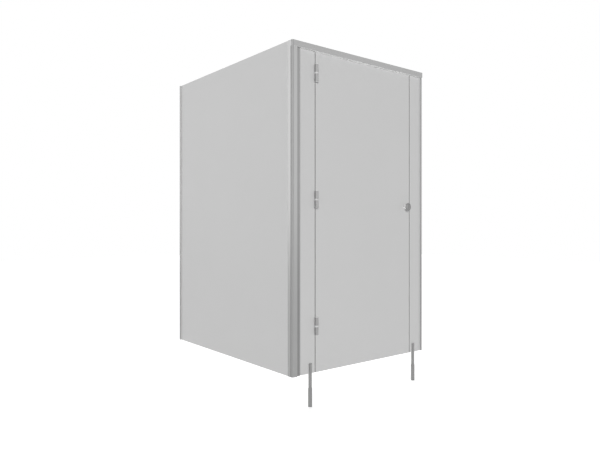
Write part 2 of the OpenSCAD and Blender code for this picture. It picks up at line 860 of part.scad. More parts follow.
// Sliding bolt, drawn back, with the upright slot that the lever's pin works in
module lock_bolt() {
    pin_x = -bolt_throw / 2;
    slot_w = crank_pin_r + yoke_clear;
    top = crank_r + slot_w + yoke_top;
    color("darkgray") translate([knob_x, bolt_y, lock_z]) difference() {
        union() {
            block([bolt_back, 0, -bolt_low], [bolt_web, bolt_t, top]);
            block([bolt_web - 1, 0, -nose_h / 2], [nose_x, bolt_t, nose_h / 2]);
        }
        block([bolt_back - 1, -1, -spindle_d / 2 - guide_clear],
            [spindle_d / 2 + 1, bolt_t + 1, spindle_d / 2 + guide_clear]);
        block([pin_x - slot_w, -1, bolt_throw / 2 - slot_w],
            [pin_x + slot_w, bolt_t + 1, crank_r + slot_w]);
    }
}

// Keep on the pilaster that the bolt's nose goes into, open towards the pilaster
module strike_keep() {
    in_z = nose_h / 2 + keep_clear;
    out_z = in_z + keep_wall;
    in_y = bolt_y + bolt_t + keep_clear;
    color("silver") difference() {
        union() {
            block([keep_x, panel_t, lock_z - out_z - keep_ear],
                [keep_x + keep_len, panel_t + plate_t, lock_z + out_z + keep_ear]);
            block([keep_x, panel_t, lock_z - out_z], [keep_x + keep_len, in_y + keep_wall, lock_z + out_z]);
        }
        block([keep_x - 1, panel_t - 1, lock_z - in_z],
            [keep_x + keep_len - keep_wall, in_y, lock_z + in_z]);
        at_keep_screws() pilot(plate_t + 1);
    }
}

module keep_screws() { color("slategray") at_keep_screws() pan_screw(keep_screw_len); }

// Legs --------------------------------------------------------------------------------------

// Upper rod: full round below the panel, half round in front of it
module leg_rod(x) {
    color("darkgray") difference() {
        translate([x, 0, floor_z + rod_end_z])
            cylinder(h = tongue_h + floor_gap - rod_end_z, r = rod_r, $fn = 96);
        block([x - rod_r - 1, 0, 0], [x + rod_r + 1, rod_r + 1, tongue_h + 1]);
        at_leg_screws() translate([0, 0, -leg_screw_len])
            cylinder(h = leg_screw_len, r = screw_d / 2 + snug);
    }
}

module at_set_screw(x) {
    translate([x, rod_r + running, sleeve_top - set_screw_drop]) to_y() children();
}

// Sleeve that telescopes on the rod
module leg_sleeve(x) {
    color("darkgray") difference() {
        translate([x, 0, floor_z + foot_flange_h])
            cylinder(h = sleeve_h - foot_flange_h, r = sleeve_d / 2, $fn = 96);
        translate([x, 0, floor_z]) cylinder(h = sleeve_h + 1, r = rod_r + running, $fn = 96);
        at_set_screw(x) translate([0, 0, -1]) cylinder(h = set_screw_len + 1, r = set_screw_d / 2 + snug);
    }
}

// Plug that closes the sleeve at the floor, with the hole for a floor anchor
module foot_plug(x) {
    edge = 1;
    color("dimgray") translate([x, 0, floor_z]) difference() {
        union() {
            cylinder(h = edge, r1 = sleeve_d / 2 - edge, r2 = sleeve_d / 2);
            translate([0, 0, edge]) cylinder(h = foot_flange_h - edge, r = sleeve_d / 2);
            cylinder(h = foot_flange_h + spigot_h, r = rod_r);
        }
        translate([0, 0, -1]) cylinder(h = foot_flange_h + spigot_h, r = anchor_d / 2);
    }
}

module set_screw(x) {
    color("slategray") at_set_screw(x) difference() {
        cylinder(h = set_screw_len, r = set_screw_d / 2);
        translate([0, 0, set_screw_len - 2]) cylinder(h = 3, r = 1.4, $fn = 6);
    }
}

module leg_screws() { color("slategray") at_leg_screws() flush_screw(leg_screw_len, screw_d); }

// Assembly ----------------------------------------------------------------------------------

from_wall() side_panel();
from_wall() left_pilaster();
from_wall() right_pilaster();
from_wall() door_leaf();
from_wall() corner_post();
from_wall() post_side_gasket();
from_wall() post_front_gasket();
from_wall() post_side_screws();
from_wall() post_front_screws();
from_wall() head_rail();
from_wall() rail_end_cap();
from_wall() rail_wall_bracket();
from_wall() rail_infill();
from_wall() rail_screws();
from_wall() rear_wall_channel();
from_wall() rear_channel_gaskets();
from_wall() rear_channel_screws();
from_wall() front_wall_channel();
from_wall() front_channel_gaskets();
from_wall() front_channel_screws();
from_wall() upper_stop_strip();
from_wall() lower_stop_strip();
from_wall() stop_seals();
from_wall() stop_screws();
from_wall() at_hinge(2) hinge_half(-1);  // top_hinge_frame_half
from_wall() at_hinge(1) hinge_half(-1);  // middle_hinge_frame_half
from_wall() at_hinge(0) hinge_half(-1);  // bottom_hinge_frame_half
from_wall() at_hinge(2) hinge_half(1);  // top_hinge_door_half
from_wall() at_hinge(1) hinge_half(1);  // middle_hinge_door_half
from_wall() at_hinge(0) hinge_half(1);  // bottom_hinge_door_half
from_wall() at_hinge(2) hinge_pin();  // top_hinge_pin
from_wall() at_hinge(1) hinge_pin();  // middle_hinge_pin
from_wall() at_hinge(0) hinge_pin();  // bottom_hinge_pin
from_wall() at_hinge(2) hinge_ring();  // top_hinge_ring
from_wall() at_hinge(1) hinge_ring();  // middle_hinge_ring
from_wall() at_hinge(0) hinge_ring();  // bottom_hinge_ring
from_wall() hinge_frame_screws();
from_wall() hinge_door_screws();
from_wall() knob_body();
from_wall() knob_face();
from_wall() knob_screws();
from_wall() indicator_disc();
from_wall() lock_spindle();
from_wall() drive_lever();
from_wall() thumb_turn();
from_wall() lock_base_plate();
from_wall() lock_case();
from_wall() lock_case_screws();
from_wall() lock_bolt();
from_wall() strike_keep();
from_wall() keep_screws();
from_wall() leg_rod(left_leg_x);  // left_leg_rod
from_wall() leg_rod(right_leg_x);  // right_leg_rod
from_wall() leg_sleeve(left_leg_x);  // left_leg_sleeve
from_wall() leg_sleeve(right_leg_x);  // right_leg_sleeve
from_wall() foot_plug(left_leg_x);  // left_foot_plug
from_wall() foot_plug(right_leg_x);  // right_foot_plug
from_wall() set_screw(left_leg_x);  // left_set_screw
from_wall() set_screw(right_leg_x);  // right_set_screw
from_wall() leg_screws();
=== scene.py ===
import json
import math

import bmesh
import bpy
from mathutils import Matrix, Vector

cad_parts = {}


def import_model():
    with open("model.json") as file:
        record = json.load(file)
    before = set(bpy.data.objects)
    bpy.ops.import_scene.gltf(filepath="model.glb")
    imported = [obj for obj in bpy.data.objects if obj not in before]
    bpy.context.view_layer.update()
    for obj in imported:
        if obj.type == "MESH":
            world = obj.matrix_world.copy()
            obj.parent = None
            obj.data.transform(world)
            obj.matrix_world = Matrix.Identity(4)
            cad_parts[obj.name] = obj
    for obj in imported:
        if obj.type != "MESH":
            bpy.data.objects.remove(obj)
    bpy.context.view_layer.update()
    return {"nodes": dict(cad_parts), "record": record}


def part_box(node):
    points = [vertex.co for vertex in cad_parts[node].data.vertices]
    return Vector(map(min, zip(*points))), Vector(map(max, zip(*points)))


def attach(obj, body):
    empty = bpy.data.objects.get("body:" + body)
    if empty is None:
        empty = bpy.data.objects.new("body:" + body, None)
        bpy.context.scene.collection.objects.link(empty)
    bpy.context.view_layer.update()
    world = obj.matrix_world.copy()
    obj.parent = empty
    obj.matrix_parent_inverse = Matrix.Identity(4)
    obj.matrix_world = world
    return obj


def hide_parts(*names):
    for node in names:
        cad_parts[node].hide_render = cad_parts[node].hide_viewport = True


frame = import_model()

MM = 0.001
X, Y, Z = range(3)
NODES = frame["nodes"]
BODY_OF = {n: b for b, ns in frame["record"]["behaviour"]["bodies"].items() for n in ns}
SLOT_OF = {s["node"]: s["material_slot"] for s in frame["record"]["subparts"]}


def centre(node):
    """The middle of a node's box."""
    low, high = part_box(node)
    return (low + high) / 2


# The cubicle's outer corner at the height of the panels' bottom edges: the outer face of the
# side panel and the outer face of the door. Sections are drawn from it in millimetres.
CORNER = Vector((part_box("side_panel")[0].x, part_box("door_leaf")[0].y, 0))
FLOOR_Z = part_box("left_foot_plug")[0].z
SPINDLE = centre("lock_spindle")
HINGES = ("top", "middle", "bottom")

# Sizes of the sections in millimetres, measured from that corner
WALL = 2                 # wall of every profile
SHEET = 13               # thickness of the laminate
SEAT = SHEET + 1.5       # back of the gasket behind a sheet
PROUD = -11              # front of the post and the rail
POST_FACE = 33           # edge of the post's raised face
POST_LIP = 57            # end of the post's lips along the front
POST_SIDE_LIP = 31       # end of its lips along the side
GROOVE = (3, 5)          # its shadow groove, along the side
SIDE_END = 1328          # wall face of the rear channel
FRONT_END = 1095         # wall face of the front channel
CHANNEL_LEG = 15         # depth of the wall channels
LOCK_EDGE = 978.5        # edge of the right pilaster beside the door
DISH_BACK = -27          # back of the knob's dish
EASE = 0.8               # eased edges of the sheets

# Radii of bores in millimetres
WALL_HOLE = 3.25
SPINDLE_HOLE = 5
LEG_SCREW_HOLE = 2.6
GRUB_HOLE = 2.55
SLEEVE_BORE = 10.05
HINGE_RING_BORE = 5.2

SHARP = 35.0             # degrees between faces, from which an edge is not smoothed


def grey(level):
    """Linear colour of an 8-bit grey level."""
    share = level / 255
    linear = share / 12.92 if share <= 0.04045 else ((share + 0.055) / 1.055) ** 2.4
    return (linear, linear, linear, 1)


# Node trees ----------------------------------------------------------------------------------


class Wire:
    """A node's output, which takes arithmetic with numbers and other outputs."""

    def __init__(self, plan, socket):
        self.plan = plan
        self.socket = socket

    def maths(self, operation, other=0.0, swapped=False):
        pair = (other, self) if swapped else (self, other)
        return self.plan.node("ShaderNodeMath", {"operation": operation}, dict(enumerate(pair)))

    def __add__(self, other): return self.maths("ADD", other)
    def __radd__(self, other): return self.maths("ADD", other, True)
    def __sub__(self, other): return self.maths("SUBTRACT", other)
    def __rsub__(self, other): return self.maths("SUBTRACT", other, True)
    def __mul__(self, other): return self.maths("MULTIPLY", other)
    def __rmul__(self, other): return self.maths("MULTIPLY", other, True)
    def __pow__(self, other): return self.maths("POWER", other)
    def __gt__(self, other): return self.maths("GREATER_THAN", other)
    def __lt__(self, other): return self.maths("LESS_THAN", other)
    def __abs__(self): return self.maths("ABSOLUTE")
    def larger(self, other): return self.maths("MAXIMUM", other)


class Plan:
    """A node tree that is written down as expressions."""

    def __init__(self, tree):
        self.tree = tree

    def node(self, kind, settings=None, sockets=None, output=0):
        made = self.tree.nodes.new(kind)
        for key, value in (settings or {}).items():
            if key == "stops":
                self.set_ramp(made.color_ramp, value)
            else:
                setattr(made, key, value)
        for key, value in (sockets or {}).items():
            self.join(value, made.inputs[key])
        return Wire(self, made.outputs[output])

    def join(self, value, socket):
        if isinstance(value, Wire):
            self.tree.links.new(value.socket, socket)
        else:
            socket.default_value = value

    def set_ramp(self, ramp, stops):
        while len(ramp.elements) > len(stops):
            ramp.elements.remove(ramp.elements[-1])
        while len(ramp.elements) < len(stops):
            ramp.elements.new(1)
        for element, (place, level) in zip(ramp.elements, stops):
            element.position = place
            element.color = (level, level, level, 1)

    def seen(self):
        """1 for what the camera sees straight, mirrored or through glass, and 0 for other light."""
        path = self.node("ShaderNodeLightPath").socket.node.outputs
        straight, mirrored, through = [Wire(self, path[f"Is {kind} Ray"])
                                       for kind in ("Camera", "Glossy", "Transmission")]
        return straight.larger(mirrored).larger(through)


class Finish(Plan):
    """A procedural material of one of the cubicle's finishes."""

    def __init__(self, name, roughness=0.5, metallic=0.0, **shader):
        self.material = bpy.data.materials.new(name)
        self.material.use_nodes = True
        super().__init__(self.material.node_tree)
        self.surface = self.tree.nodes["Principled BSDF"]
        self.place = self.node("ShaderNodeTexCoord", output="Object")
        self.bumps = None
        self.set("Metallic", metallic)
        self.set("Roughness", roughness)
        for key, value in shader.items():
            self.set(key.replace("_", " ").title().replace("Ior", "IOR"), value)

    def set(self, socket, value):
        self.join(value, self.surface.inputs[socket])

    def axes(self):
        split = self.node("ShaderNodeSeparateXYZ", sockets={0: self.place})
        outputs = split.socket.node.outputs
        return [Wire(self, outputs[i]) for i in (X, Y, Z)]

    def noise(self, scale, detail=2.0, stretch=(1, 1, 1), roughness=0.5):
        """Noise from 0 to 1 with a scale in features per metre along each axis."""
        place = self.node("ShaderNodeMapping", {}, {"Vector": self.place, "Scale": stretch})
        return self.node("ShaderNodeTexNoise", {}, {
            "Vector": place, "Scale": scale, "Detail": detail, "Roughness": roughness}, "Fac")

    def ramp(self, value, *stops):
        return self.node("ShaderNodeValToRGB", {"stops": stops}, {0: value})

    def tint(self, mask, low, high):
        """A colour that goes from low to high with the mask."""
        return self.node("ShaderNodeMix", {"data_type": "RGBA", "clamp_factor": True},
                         {0: mask, 6: low, 7: high}, 2)

    def bump(self, height, strength, distance):
        sockets = {"Height": height, "Strength": strength, "Distance": distance}
        if self.bumps:
            sockets["Normal"] = self.bumps
        self.bumps = self.node("ShaderNodeBump", {}, sockets)
        self.set("Normal", self.bumps)


class Recipe(Plan):
    """A geometry node tree with named inputs."""

    KINDS = {"Geometry": "NodeSocketGeometry", "Length": "NodeSocketFloat", "Seed": "NodeSocketInt",
             "Finish": "NodeSocketMaterial", "Piece": "NodeSocketObject"}

    def __init__(self, name, *inputs):
        super().__init__(bpy.data.node_groups.new(name, "GeometryNodeTree"))
        self.keys = {}
        for label in ("Geometry",) + inputs:
            item = self.tree.interface.new_socket(name=label, in_out="INPUT", socket_type=self.KINDS[label])
            self.keys[label] = item.identifier
        self.tree.interface.new_socket(name="Geometry", in_out="OUTPUT", socket_type="NodeSocketGeometry")
        self.start = self.tree.nodes.new("NodeGroupInput")

    def given(self, label):
        return Wire(self, self.start.outputs[label])

    def done(self, geometry):
        whole = self.node("GeometryNodeRealizeInstances", {}, {0: geometry})
        coated = self.node("GeometryNodeSetMaterial", {}, {
            "Geometry": whole, "Material": self.given("Finish")})
        end = self.tree.nodes.new("NodeGroupOutput")
        self.join(coated, end.inputs[0])

    def build(self, name, mesh, **values):
        """The mesh that the tree makes from a mesh and the given values."""
        holder = placed(name, mesh)
        modifier = holder.modifiers.new(name, "NODES")
        modifier.node_group = self.tree
        for label, value in values.items():
            modifier[self.keys[label]] = value
        return evaluated(holder)


# Mesh tools ----------------------------------------------------------------------------------


def placed(name, data):
    """A new object of the scene."""
    made = bpy.data.objects.new(name, data)
    bpy.context.scene.collection.objects.link(made)
    return made


def evaluated(holder):
    """The object's final mesh. The object itself is removed."""
    holder.update_tag()
    bpy.context.view_layer.update()
    whole = holder.evaluated_get(bpy.context.evaluated_depsgraph_get())
    mesh = bpy.data.meshes.new_from_object(whole)
    bpy.data.objects.remove(holder)
    return mesh


def smoothed(mesh, smooth=SHARP):
    mesh.shade_smooth()
    mesh.set_sharp_from_angle(angle=math.radians(smooth))
    return mesh


def to_mesh(bm, name, smooth=SHARP):
    """Closes a bmesh into a mesh, smooth but for edges sharper than the angle."""
    bmesh.ops.recalc_face_normals(bm, faces=bm.faces)
    mesh = bpy.data.meshes.new(name)
    bm.to_mesh(mesh)
    bm.free()
    return smoothed(mesh, smooth)


def flattened(mesh):
    """The mesh with the shading of its flat faces kept flat beside their rounded edges."""
    holder = placed(mesh.name, mesh)
    modifier = holder.modifiers.new("flat faces", "WEIGHTED_NORMAL")
    modifier.weight = 100
    modifier.keep_sharp = True
    return evaluated(holder)


def piece(name, mesh, node, *coats):
    """A finished piece in the place of a CAD node."""
    mesh = flattened(mesh)
    made = placed(name, mesh)
    mesh.materials.clear()
    for coat in coats:
        mesh.materials.append(coat.material)
    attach(made, BODY_OF[node])
    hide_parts(node)
    return made


def angles(count):
    return [2 * math.pi * i / count for i in range(count)]


def circle(x, y, r, count=32):
    return [Vector((x + r * math.cos(a), y + r * math.sin(a))) for a in angles(count)]


def ring(r, height, count, lobe=0.0, lobes=6):
    """A ring of points in millimetres about Z, with lobes as in a star drive if lobe is given."""
    reach = [r + lobe * math.cos(lobes * a) for a in angles(count)]
    return [Vector((far * math.cos(a), far * math.sin(a), height)) * MM
            for far, a in zip(reach, angles(count))]


def rounded(points, steps=5):
    """A closed outline whose corners (x, y, radius) are rounded."""
    outline = []
    for i, corner in enumerate(points):
        here = Vector(corner[:2])
        radius = corner[2] if len(corner) > 2 else 0
        if not radius:
            outline.append(here)
            continue
        back = (Vector(points[i - 1][:2]) - here).normalized()
        onward = (Vector(points[(i + 1) % len(points)][:2]) - here).normalized()
        half = back.angle(onward) / 2
        start = here + back * (radius / math.tan(half))
        middle = here + (back + onward).normalized() * (radius / math.sin(half))
        turn = (start - middle).angle_signed(here + onward * (radius / math.tan(half)) - middle)
        count = max(2, round(steps * abs(turn) / (math.pi / 2)))
        for k in range(count + 1):
            outline.append(middle + Matrix.Rotation(-turn * k / count, 2) @ (start - middle))
    return outline


def rings(rows, name, smooth=SHARP):
    """A closed shell through rings of points, each a list of the same length or one point."""
    bm = bmesh.new()
    made = [[bm.verts.new(p) for p in row] for row in rows]
    for low, high in zip(made, made[1:]):
        count = max(len(low), len(high))
        for i in range(count):
            j = (i + 1) % count
            if len(low) == 1:
                bm.faces.new((low[0], high[j], high[i]))
            elif len(high) == 1:
                bm.faces.new((low[i], low[j], high[0]))
            else:
                bm.faces.new((low[i], low[j], high[j], high[i]))
    for row in (made[0], made[-1]):
        if len(row) > 1:
            bm.faces.new(row)
    return to_mesh(bm, name, smooth)


def turned(profile, name, count=64):
    """A shell turned about Z from (radius, height) pairs in millimetres."""
    rows = [[Vector((0, 0, h)) * MM] if r == 0 else ring(r, h, count) for r, h in profile]
    return rings(rows, name)


def joined(name, *meshes):
    bm = bmesh.new()
    for mesh in meshes:
        bm.from_mesh(mesh)
    return to_mesh(bm, name)


def carved(mesh, tool, operation="DIFFERENCE", smooth=SHARP):
    """The mesh after a boolean with another mesh."""
    holder = placed(mesh.name, mesh)
    cutter = placed("cutter", tool)
    modifier = holder.modifiers.new("cut", "BOOLEAN")
    modifier.object = cutter
    modifier.operation = operation
    modifier.solver = "EXACT"
    result = evaluated(holder)
    bpy.data.objects.remove(cutter)
    return smoothed(result, smooth)


def cylinders(holes):
    """One mesh of cylinders (start, end, radius in millimetres), to cut with."""
    bm = bmesh.new()
    for start, end, radius in holes:
        span = Vector(end) - Vector(start)
        turn = span.to_track_quat("Z", "Y").to_matrix().to_4x4()
        place = Matrix.Translation((Vector(start) + Vector(end)) / 2) @ turn
        bmesh.ops.create_cone(bm, cap_ends=True, segments=32, radius1=radius * MM, radius2=radius * MM,
                              depth=span.length, matrix=place)
    mesh = bpy.data.meshes.new("holes")
    bm.to_mesh(mesh)
    bm.free()
    return mesh


def weld(bm):
    bmesh.ops.remove_doubles(bm, verts=bm.verts, dist=0.002 * MM)


def welded(node):
    """A CAD node's loose triangles, joined."""
    bm = bmesh.new()
    bm.from_mesh(NODES[node].data)
    weld(bm)
    return bm


def eased(node, width=0.4, longer=0.0):
    """A CAD node's mesh with its sharp edges, longer than a length, broken by a small bevel."""
    bm = welded(node)
    bmesh.ops.dissolve_limit(bm, angle_limit=math.radians(0.6), verts=bm.verts, edges=bm.edges)
    sharp = [e for e in bm.edges if len(e.link_faces) == 2 and e.calc_face_angle(0) > math.radians(SHARP)
             and e.calc_length() >= longer * MM]
    bmesh.ops.bevel(bm, geom=sharp, offset=width * MM, segments=2, profile=0.6, affect="EDGES",
                    clamp_overlap=True)
    weld(bm)
    return to_mesh(bm, node)


def solids(node):
    """The boxes of a node's separate solids."""
    bm = welded(node)
    left = set(bm.verts)
    boxes = []
    while left:
        queue = [left.pop()]
        group = []
        while queue:
            vert = queue.pop()
            group.append(vert.co.copy())
            for edge in vert.link_edges:
                other = edge.other_vert(vert)
                if other in left:
                    left.remove(other)
                    queue.append(other)
        boxes.append(tuple(Vector(pick(c[i] for c in group) for i in range(3)) for pick in (min, max)))
    bm.free()
    return sorted(boxes, key=lambda box: tuple(box[0]))


# Finishes ------------------------------------------------------------------------------------

PANEL = 199              # grey levels of the laminate and of the anodised profiles
METAL = 156
# grey level of painted light, on the rail's underside and the knob's neck
PAINTED_LIGHT_LEVEL = 240
PROFILE_SHADE = 26                # how much darker the painted shade beside a profile makes the laminate
PROFILE_SHADE_FADE = 90           # share of that painted shade that is lost per metre, so none is left after 11 mm
RIM = 4 * MM             # width of a sheet's rubbed rim


def laminate(name, level, box, shade_from=None):
    """Matt compact laminate: pearl grain, faint clouds, scuffs, and rims that hands have rubbed.

    The argument after the box is the edge of a profile; to its right lies a painted shade, fading out over
    11 mm.
    """
    coat = Finish(name, specular_ior_level=0.3)
    cloud = coat.noise(2.2, 3)
    speck = coat.noise(1700, 2)
    scuff = coat.ramp(coat.noise(26, 4, (1, 1, 7), 0.65), (0.64, 0), (0.7, 1))
    shade = cloud * 0.5 + speck * 0.5
    low, high = box
    middle, half = (low + high) / 2, (high - low) / 2
    xyz = coat.axes()
    one, two = [abs(xyz[i] - middle[i]) - (half[i] - RIM) for i in (X, Y, Z) if half[i] > SHEET * MM]
    rubbed = coat.ramp(one.larger(two) * (1 / RIM) + coat.noise(90, 3) * 0.9, (0.55, 0), (1, 1))
    colour = coat.tint(shade - rubbed * 0.12, grey(level - 3), grey(level + 3))
    # Painted shade beside the profile's edge, darkest at the edge and gone 11 mm from it
    if shade_from:
        dust_and_painted_shade = coat.ramp((xyz[X] - shade_from) * PROFILE_SHADE_FADE, (0, 1), (1, 0))
        colour = coat.tint(dust_and_painted_shade, colour, grey(level - PROFILE_SHADE))
    coat.set("Base Color", colour)
    coat.set("Roughness", 0.5 + speck * 0.08 - scuff * 0.1)
    coat.bump(coat.noise(1100, 1), 0.12, 0.06 * MM)
    coat.bump(scuff, 0.03, 0.02 * MM)
    return coat


def core(name, level):
    """Sawn and sanded edge of the laminate, with its pressed paper layers."""
    coat = Finish(name, specular_ior_level=0.25)
    layers = coat.noise(60, 3, (40, 40, 1))
    coat.set("Base Color", coat.tint(layers, grey(level - 7), grey(level + 7)))
    coat.set("Roughness", 0.55 + layers * 0.15)
    coat.bump(coat.noise(900, 2, (1, 1, 0.05)), 0.15, 0.05 * MM)
    return coat


def drawn_metal(name, level, along, roughness=0.36, patches=()):
    """Satin metal with fine lines along one axis, faint stains and a few scratches.

    Each patch is a mask of x, y and z, and the level painted inside it, darker as painted shade and lighter
    as painted light.
    """
    def stretch(share):
        return tuple(share if i == along else 1 for i in (X, Y, Z))
    coat = Finish(name, metallic=1.0)
    line = coat.noise(2600, 2, stretch(0.004))
    broad = coat.noise(320, 2, stretch(0.004))
    stain = coat.noise(9, 4)
    scratch = coat.ramp(coat.noise(210, 2, stretch(0.05), 0.7), (0.7, 0), (0.74, 1))
    colour = coat.tint(line * 0.35 + broad * 0.25 + stain * 0.4, grey(level - 6), grey(level + 6))
    for mask, inside in patches:
        colour = coat.tint(mask(*coat.axes()), colour, grey(inside))
    coat.set("Base Color", colour)
    coat.set("Roughness", roughness - 0.06 + line * 0.06 + stain * 0.08 + scratch * 0.1)
    coat.bump(line, 0.1, 0.02 * MM)
    coat.bump(scratch, 0.1, 0.02 * MM)
    return coat


def turned_metal(name, level, painted_light_from=None):
    """Satin metal with a lathe's lines round the spindle. Where a place along Y is given, all behind it,
    towards the door, gets painted light, nearly white.
    """
    coat = Finish(name, metallic=1.0)
    x, y, z = coat.axes()
    reach = ((x - SPINDLE.x) ** 2 + (z - SPINDLE.z) ** 2) ** 0.5
    groove = coat.node("ShaderNodeTexNoise", {"noise_dimensions": "1D"},
                       {"W": reach * 5000 + y * 4000, "Scale": 1.0, "Detail": 2.0}, "Fac")
    stain = coat.noise(60, 3)
    colour = coat.tint(groove * 0.5 + stain * 0.5, grey(level - 6), grey(level + 6))
    if painted_light_from:
        colour = coat.tint(y > painted_light_from, colour, grey(PAINTED_LIGHT_LEVEL))
    coat.set("Base Color", colour)
    coat.set("Roughness", 0.35 + groove * 0.05 + stain * 0.1)
    coat.bump(groove, 0.12, 0.02 * MM)
    return coat


def moulded(name, level, roughness=0.5, grain=0.15):
    """Moulded or extruded plastic or rubber with a fine spark grain and dust."""
    coat = Finish(name)
    dust_and_painted_shade = coat.noise(45, 4)
    coat.set("Base Color", coat.tint(dust_and_painted_shade, grey(level - 6), grey(level + 6)))
    coat.set("Roughness", roughness - 0.06 + dust_and_painted_shade * 0.12)
    coat.bump(coat.noise(2400, 1), grain, 0.03 * MM)
    return coat


def powder_coat(name, level):
    """Fine orange peel of a stoved powder coat."""
    coat = Finish(name, specular_ior_level=0.45)
    peel = coat.noise(700, 2)
    wear = coat.noise(35, 4)
    coat.set("Base Color", coat.tint(wear, grey(level - 4), grey(level + 4)))
    coat.set("Roughness", 0.36 + wear * 0.1)
    coat.bump(peel, 0.2, 0.06 * MM)
    return coat


def enamel(name):
    """Indicator disc: grey, with a red quarter that the window shows when the door is locked."""
    coat = Finish(name, roughness=0.3)
    x, _, z = coat.axes()
    left, up = SPINDLE.x - x, abs(z - SPINDLE.z)
    red = (left > up) * (left * left + up * up > (8 * MM) ** 2)
    plain = coat.tint(coat.noise(300, 2), grey(122), grey(130))
    coat.set("Base Color", coat.tint(red, plain, (0.42, 0.03, 0.025, 1)))
    coat.bump(coat.noise(900, 1), 0.05, 0.02 * MM)
    return coat


def on_lip(x, y, z):
    """Mask of the post's lip over the left pilaster, painted darker: painted shade beside the raised face.
    """
    return (x > CORNER.x + (POST_FACE + 0.2) * MM) * (y > CORNER.y - (WALL + 0.6) * MM)


def on_arris(x, y, z):
    """Mask of the post's rounded corner, painted a little darker: painted shade."""
    return (x < CORNER.x + WALL * MM) * (y < CORNER.y + GROOVE[0] * MM)


def in_groove(x, y, z):
    """Mask of the post's shadow groove, painted near black: painted shade in the recess."""
    start, end = [CORNER.y + side * MM for side in GROOVE]
    return (abs(y - (start + end) / 2) < (end - start) / 2 + 0.05 * MM) * (x < CORNER.x - 0.5 * MM)


def under_rail(x, y, z):
    """Mask of the rail's underside, painted nearly white: painted light."""
    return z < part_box("head_rail")[0].z + 0.4 * MM


def at_hinge_ends(x, y, z):
    """Mask of the ends of the hinge barrels, painted nearly white: painted light."""
    ends = [end.z for height in HINGES for half in ("frame", "door")
            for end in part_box(f"{height}_hinge_{half}_half")]
    return sum(abs(z - end) < 0.4 * MM for end in ends)


side_coat = laminate("laminate_side", PANEL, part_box("side_panel"))
# The left pilaster gets painted shade to the right of the post's front lip
left_coat = laminate("laminate_left", PANEL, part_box("left_pilaster"), shade_from=CORNER.x + POST_LIP * MM)
right_coat = laminate("laminate_right", PANEL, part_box("right_pilaster"))
door_coat = laminate("laminate_door", PANEL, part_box("door_leaf"))
core_coat = core("laminate_core", 125)
upright_metal = drawn_metal("anodised_upright", METAL, Z)
# The post's lip, rounded corner and shadow groove get painted shade
post_metal = drawn_metal("anodised_post", METAL, Z, patches=[
    (on_lip, METAL - 24), (on_arris, METAL - 9), (in_groove, METAL - 66)])
# A lighter copy of the anodised finish, as painted light, with painted light, nearly white, on its underside
rail_metal = drawn_metal("anodised_rail", METAL + 5, X, 0.5, [(under_rail, PAINTED_LIGHT_LEVEL)])
# A darker copy of the anodised finish, as painted shade
channel_metal = drawn_metal("anodised_channel", METAL - 8, Z)
# The hinge barrels' ends get painted light, nearly white
hinge_metal = drawn_metal("hinge_satin", 157, Z, 0.34, [(at_hinge_ends, 236)])
leg_metal = drawn_metal("leg_satin", 143, Z, 0.34)
knob_metal = turned_metal("knob_satin", 133)
# The knob's neck is a light satin, and behind the dish, in its shade, it gets painted light, nearly white
neck_metal = turned_metal("knob_neck_satin", 214, CORNER.y + (DISH_BACK + 0.1) * MM)
screw_metal = drawn_metal("screw_satin", 160, Y, 0.3)
lock_coat = powder_coat("lock_powder", 170)
bolt_metal = drawn_metal("bolt_satin", 165, X, 0.3)
rubber = moulded("gasket_rubber", 168, 0.62, 0.2)
foot_plastic = moulded("foot_plastic", 146)
# Pale grey rubber made paler still, as painted light on the shaded gaskets between profiles and panels
glazing_rubber = moulded("glazing_rubber", 205, 0.6, 0.2)
# Pale plastic made near white, as painted light on the shaded strip in the gap above the door
infill_plastic = moulded("infill_plastic", 234)
nylon = moulded("nylon_ring", 202, 0.42, 0.08)
disc_enamel = enamel("indicator_enamel")
COATS = {"laminate": side_coat, "anodised_profile": upright_metal, "gasket": rubber,
         "screw_steel": screw_metal, "grey_plastic": foot_plastic, "hinge_steel": hinge_metal,
         "nylon": nylon, "knob_steel": knob_metal, "indicator": disc_enamel, "lock_metal": lock_coat,
         "leg_steel": leg_metal}
for node_name, node in NODES.items():
    node.data.materials.clear()
    node.data.materials.append(COATS[SLOT_OF[node_name]].material)


# Extruded profiles -----------------------------------------------------------------------------

# A closed outline is filled, pushed along Z and closed at both ends
extrusion = Recipe("drawn section", "Length", "Finish")
filled = extrusion.node("GeometryNodeFillCurve", {}, {
    0: extrusion.node("GeometryNodeMeshToCurve", {}, {0: extrusion.given("Geometry")})})
pushed = extrusion.node("GeometryNodeExtrudeMesh", {"mode": "FACES"}, {
    "Mesh": filled, "Offset": (0, 0, 1), "Offset Scale": extrusion.given("Length"), "Individual": False})
closed = extrusion.node("GeometryNodeJoinGeometry")
for part in (extrusion.node("GeometryNodeFlipFaces", {}, {0: filled}), pushed):
    extrusion.tree.links.new(part.socket, closed.socket.node.inputs[0])
extrusion.done(extrusion.node("GeometryNodeMergeByDistance", {}, {0: closed, "Distance": 0.001 * MM}))


def section(name, outlines, length, finish, turn):
    """A profile of the given outlines in millimetres, drawn along Z and then turned into place."""
    mesh = bpy.data.meshes.new(name)
    verts, edges = [], []
    for outline in outlines:
        start = len(verts)
        verts += [(p[0] * MM, p[1] * MM, 0) for p in outline]
        edges += [(start + i, start + (i + 1) % len(outline)) for i in range(len(outline))]
    mesh.from_pydata(verts, edges, [])
    made = extrusion.build(name, mesh, Length=length, Finish=finish.material)
    made.transform(turn)
    bm = bmesh.new()
    bm.from_mesh(made)
    return to_mesh(bm, name)


def upright(node):
    """Length and place of an upright section, drawn from the outer corner, at the node's foot."""
    low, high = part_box(node)
    return high.z - low.z, Matrix.Translation(CORNER + Vector((0, 0, low.z)))


def lengthwise(node):
    """Length and place of a section along the front, drawn from the door's face and its own foot."""
    low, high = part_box(node)
    return high.x - low.x, Matrix(((0, 0, 1, low.x), (1, 0, 0, CORNER.y), (0, 1, 0, low.z), (0, 0, 0, 1)))


